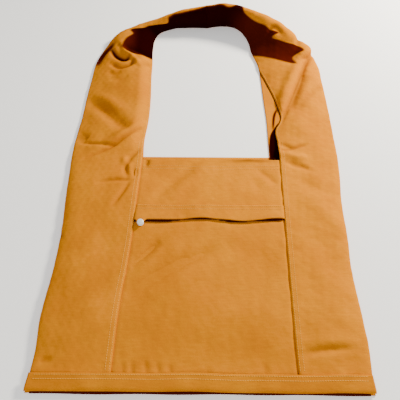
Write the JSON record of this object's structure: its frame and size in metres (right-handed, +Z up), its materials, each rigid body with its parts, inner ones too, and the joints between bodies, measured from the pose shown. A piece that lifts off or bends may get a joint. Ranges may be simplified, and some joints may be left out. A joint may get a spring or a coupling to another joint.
{
  "type": "hand warmer muff",
  "caption": "Flat canvas hand warmer muff with open sides for the hands, a snap-flap front pocket and a wide two-layer neck loop.",
  "frame": {"origin": "middle of the footprint, on the surface that the muff lies on", "axes": "+X to the right across the front, +Y from the hem to the back of the neck loop, +Z up out of the front"},
  "size_m": [0.5132, 0.8376, 0.0587],
  "materials": {
    "duck_canvas": "golden brown cotton duck, matt",
    "lining_cloth": "dark rust brushed cloth",
    "batting": "undyed polyester wadding",
    "snap_nickel": "pale nickel plate"
  },
  "bodies": {
    "muff_body": {"back_panel": "duck_canvas", "back_facing": "duck_canvas", "front_facing": "duck_canvas", "centre_panel": "duck_canvas", "left_side_panel": "duck_canvas", "right_side_panel": "duck_canvas", "pocket_panel": "duck_canvas", "front_yoke": "duck_canvas", "hem_band_front": "duck_canvas", "hem_band_back": "duck_canvas", "left_felled_seam": "duck_canvas", "right_felled_seam": "duck_canvas", "left_hand_hem_front": "duck_canvas", "left_hand_hem_back": "duck_canvas", "right_hand_hem_front": "duck_canvas", "right_hand_hem_back": "duck_canvas", "left_side_seam": "duck_canvas", "right_side_seam": "duck_canvas", "back_lining": "lining_cloth", "front_lining": "lining_cloth", "back_batting": "batting", "front_batting": "batting", "snap_stud": "snap_nickel"},
    "pocket_flap_body": {"pocket_flap": "duck_canvas", "snap_cap": "snap_nickel", "snap_socket": "snap_nickel"},
    "neck_loop": {"left_strap_front": "duck_canvas", "left_strap_back": "duck_canvas", "right_strap_front": "duck_canvas", "right_strap_back": "duck_canvas", "neck_seam_tape": "duck_canvas"}
  },
  "joints": [
    {"name": "flap_lift", "type": "hinge", "parent": "muff_body", "child": "pocket_flap_body", "pos_m": [0, -0.1277, 0.0291], "axis": [-1, 0, 0], "range_deg": [0, 150]},
    {"name": "neck_loop_fold", "type": "hinge", "parent": "muff_body", "child": "neck_loop", "pos_m": [0, -0.01785, 0.0166], "axis": [1, 0, 0], "range_deg": [0, 150]}
  ]
}
